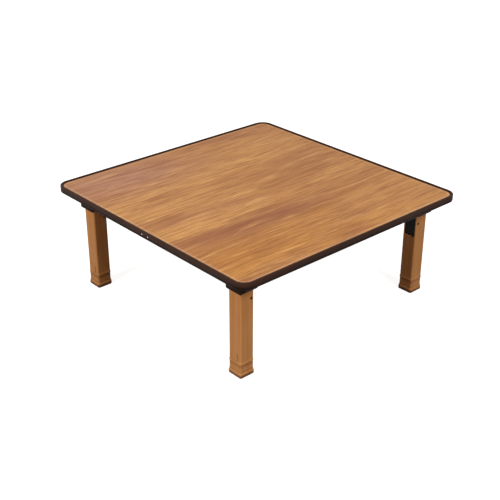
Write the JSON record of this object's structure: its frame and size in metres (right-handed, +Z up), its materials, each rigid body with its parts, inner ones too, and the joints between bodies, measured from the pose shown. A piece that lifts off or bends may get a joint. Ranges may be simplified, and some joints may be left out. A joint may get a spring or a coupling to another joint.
{
  "type": "folding dining table",
  "caption": "Low square folding floor table with a wood-grain top, dark edge band, legs that fold flat under it on toggle springs, and pull-out feet that set its height.",
  "frame": {"origin": "on the floor, under the middle of the table top", "axes": "+Z up; the legs fold along X; +Y runs from the front pair of legs to the back pair"},
  "size_m": [0.7, 0.7, 0.274],
  "materials": {
    "laminate": "satin wood-grain laminate",
    "board": "raw pressed board",
    "backing": "plain tan paper foil",
    "edge": "satin dark brown moulding",
    "nail": "bright nail heads",
    "screw": "zinc plated",
    "housing": "dark brown moulding",
    "steel": "plain steel",
    "leg": "satin mid brown moulding",
    "channel": "black paint",
    "spring": "bright spring wire",
    "pad": "dark rubber"
  },
  "bodies": {
    "tabletop": {"top_laminate": "laminate", "board_core": "board", "backing_sheet": "backing", "edge_band": "edge", "edge_nails": "nail", "housing_screws": "screw", "corner_housing_front_left": "housing", "hinge_rivets_front_left": "steel", "corner_housing_front_right": "housing", "hinge_rivets_front_right": "steel", "corner_housing_back_left": "housing", "hinge_rivets_back_left": "steel", "corner_housing_back_right": "housing", "hinge_rivets_back_right": "steel"},
    "leg_front_left": {"leg_shell_front_left": "leg", "leg_channel_front_left": "channel", "spring_pin_front_left": "steel", "toggle_spring_front_left": "spring", "tab_pin_front_left": "steel"},
    "foot_front_left": {"foot_front_left": "leg", "foot_pad_front_left": "pad"},
    "tab_front_left": {"height_tab_front_left": "leg"},
    "leg_front_right": {"leg_shell_front_right": "leg", "leg_channel_front_right": "channel", "spring_pin_front_right": "steel", "toggle_spring_front_right": "spring", "tab_pin_front_right": "steel"},
    "foot_front_right": {"foot_front_right": "leg", "foot_pad_front_right": "pad"},
    "tab_front_right": {"height_tab_front_right": "leg"},
    "leg_back_left": {"leg_shell_back_left": "leg", "leg_channel_back_left": "channel", "spring_pin_back_left": "steel", "toggle_spring_back_left": "spring", "tab_pin_back_left": "steel"},
    "foot_back_left": {"foot_back_left": "leg", "foot_pad_back_left": "pad"},
    "tab_back_left": {"height_tab_back_left": "leg"},
    "leg_back_right": {"leg_shell_back_right": "leg", "leg_channel_back_right": "channel", "spring_pin_back_right": "steel", "toggle_spring_back_right": "spring", "tab_pin_back_right": "steel"},
    "foot_back_right": {"foot_back_right": "leg", "foot_pad_back_right": "pad"},
    "tab_back_right": {"height_tab_back_right": "leg"}
  },
  "joints": [
    {"name": "leg_fold_front_left", "type": "hinge", "parent": "tabletop", "child": "leg_front_left", "pos_m": [-0.2825, -0.274, 0.2409], "axis": [0, -1, 0], "range_deg": [0, 90], "deforming": ["toggle_spring_front_left"]},
    {"name": "foot_slide_front_left", "type": "slide", "parent": "leg_front_left", "child": "foot_front_left", "axis": [0, 0, -1], "range_m": [0, 0.022]},
    {"name": "tab_press_front_left", "type": "hinge", "parent": "leg_front_left", "child": "tab_front_left", "pos_m": [-0.3054, -0.274, 0.06], "axis": [0, -1, 0], "range_deg": [0, 5], "stiffness_Nm_per_rad": 0.6, "springref_deg": -2.86},
    {"name": "leg_fold_front_right", "type": "hinge", "parent": "tabletop", "child": "leg_front_right", "pos_m": [0.2825, -0.274, 0.2409], "axis": [0, 1, 0], "range_deg": [0, 90], "deforming": ["toggle_spring_front_right"]},
    {"name": "foot_slide_front_right", "type": "slide", "parent": "leg_front_right", "child": "foot_front_right", "axis": [0, 0, -1], "range_m": [0, 0.022]},
    {"name": "tab_press_front_right", "type": "hinge", "parent": "leg_front_right", "child": "tab_front_right", "pos_m": [0.3054, -0.274, 0.06], "axis": [0, 1, 0], "range_deg": [0, 5], "stiffness_Nm_per_rad": 0.6, "springref_deg": -2.86},
    {"name": "leg_fold_back_left", "type": "hinge", "parent": "tabletop", "child": "leg_back_left", "pos_m": [-0.2825, 0.274, 0.2409], "axis": [0, -1, 0], "range_deg": [0, 90], "deforming": ["toggle_spring_back_left"]},
    {"name": "foot_slide_back_left", "type": "slide", "parent": "leg_back_left", "child": "foot_back_left", "axis": [0, 0, -1], "range_m": [0, 0.022]},
    {"name": "tab_press_back_left", "type": "hinge", "parent": "leg_back_left", "child": "tab_back_left", "pos_m": [-0.3054, 0.274, 0.06], "axis": [0, -1, 0], "range_deg": [0, 5], "stiffness_Nm_per_rad": 0.6, "springref_deg": -2.86},
    {"name": "leg_fold_back_right", "type": "hinge", "parent": "tabletop", "child": "leg_back_right", "pos_m": [0.2825, 0.274, 0.2409], "axis": [0, 1, 0], "range_deg": [0, 90], "deforming": ["toggle_spring_back_right"]},
    {"name": "foot_slide_back_right", "type": "slide", "parent": "leg_back_right", "child": "foot_back_right", "axis": [0, 0, -1], "range_m": [0, 0.022]},
    {"name": "tab_press_back_right", "type": "hinge", "parent": "leg_back_right", "child": "tab_back_right", "pos_m": [0.3054, 0.274, 0.06], "axis": [0, 1, 0], "range_deg": [0, 5], "stiffness_Nm_per_rad": 0.6, "springref_deg": -2.86}
  ]
}
